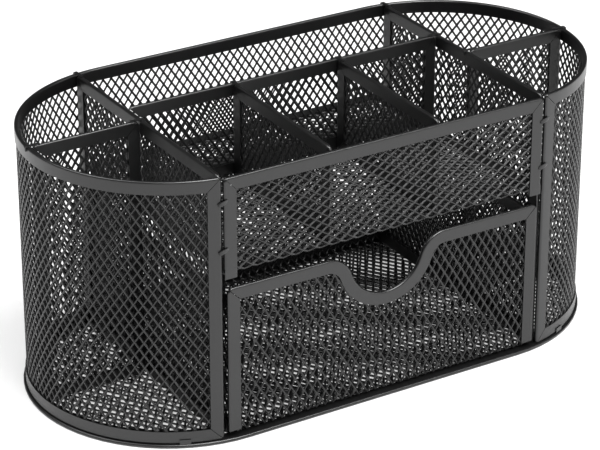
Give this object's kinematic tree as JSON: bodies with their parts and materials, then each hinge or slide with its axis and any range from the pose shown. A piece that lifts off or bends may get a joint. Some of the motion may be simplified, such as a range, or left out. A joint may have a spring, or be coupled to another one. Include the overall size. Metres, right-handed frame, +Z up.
{
  "type": "pen stand with drawer",
  "caption": "Oval desk organizer of black steel mesh edged with folded channels: upright end pockets, shallow compartments on a shelf, and a pull-out drawer with a finger notch.",
  "frame": {"origin": "centre of the footprint, on the surface that the base ring rests on", "axes": "+X along the length, +Y from the drawer front towards the back, +Z up"},
  "size_m": [0.2248, 0.1098, 0.1024],
  "materials": {
    "black_mesh": "satin black powder coat on expanded steel mesh",
    "black_strip": "satin black powder coat on folded steel strip"
  },
  "bodies": {
    "stand": {"base_mesh": "black_mesh", "base_ring": "black_strip", "bottom_rim_channel": "black_strip", "front_and_shelf_mesh": "black_mesh", "front_left_channel": "black_strip", "front_right_channel": "black_strip", "front_top_channel": "black_strip", "left_cross_divider_back_channel": "black_strip", "left_cross_divider_bottom_channel": "black_strip", "left_cross_divider_front_channel": "black_strip", "left_cross_divider_mesh": "black_mesh", "left_cross_divider_top_channel": "black_strip", "left_end_divider_bottom_channel": "black_strip", "left_end_divider_inner_channel": "black_strip", "left_end_divider_mesh": "black_mesh", "left_end_divider_outer_channel": "black_strip", "left_end_divider_top_channel": "black_strip", "left_middle_divider_back_channel": "black_strip", "left_middle_divider_bottom_channel": "black_strip", "left_middle_divider_front_channel": "black_strip", "left_middle_divider_mesh": "black_mesh", "left_middle_divider_top_channel": "black_strip", "left_post_channel": "black_strip", "long_divider_bottom_channel": "black_strip", "long_divider_left_channel": "black_strip", "long_divider_mesh": "black_mesh", "long_divider_right_channel": "black_strip", "long_divider_top_channel": "black_strip", "right_cross_divider_back_channel": "black_strip", "right_cross_divider_bottom_channel": "black_strip", "right_cross_divider_front_channel": "black_strip", "right_cross_divider_mesh": "black_mesh", "right_cross_divider_top_channel": "black_strip", "right_end_divider_bottom_channel": "black_strip", "right_end_divider_inner_channel": "black_strip", "right_end_divider_mesh": "black_mesh", "right_end_divider_outer_channel": "black_strip", "right_end_divider_top_channel": "black_strip", "right_middle_divider_back_channel": "black_strip", "right_middle_divider_bottom_channel": "black_strip", "right_middle_divider_front_channel": "black_strip", "right_middle_divider_mesh": "black_mesh", "right_middle_divider_top_channel": "black_strip", "right_post_channel": "black_strip", "shelf_back_channel": "black_strip", "shelf_left_channel": "black_strip", "shelf_right_channel": "black_strip", "top_rim_channel": "black_strip", "wall_mesh": "black_mesh"},
    "drawer": {"drawer_back_channel": "black_strip", "drawer_front_left_channel": "black_strip", "drawer_front_right_channel": "black_strip", "drawer_front_top_channel": "black_strip", "drawer_left_mesh": "black_mesh", "drawer_left_side_channel": "black_strip", "drawer_right_mesh": "black_mesh", "drawer_right_side_channel": "black_strip", "drawer_tray_mesh": "black_mesh"}
  },
  "joints": [
    {"name": "drawer_slide", "type": "slide", "parent": "stand", "child": "drawer", "axis": [0, -1, 0], "range_m": [0, 0.09]}
  ]
}
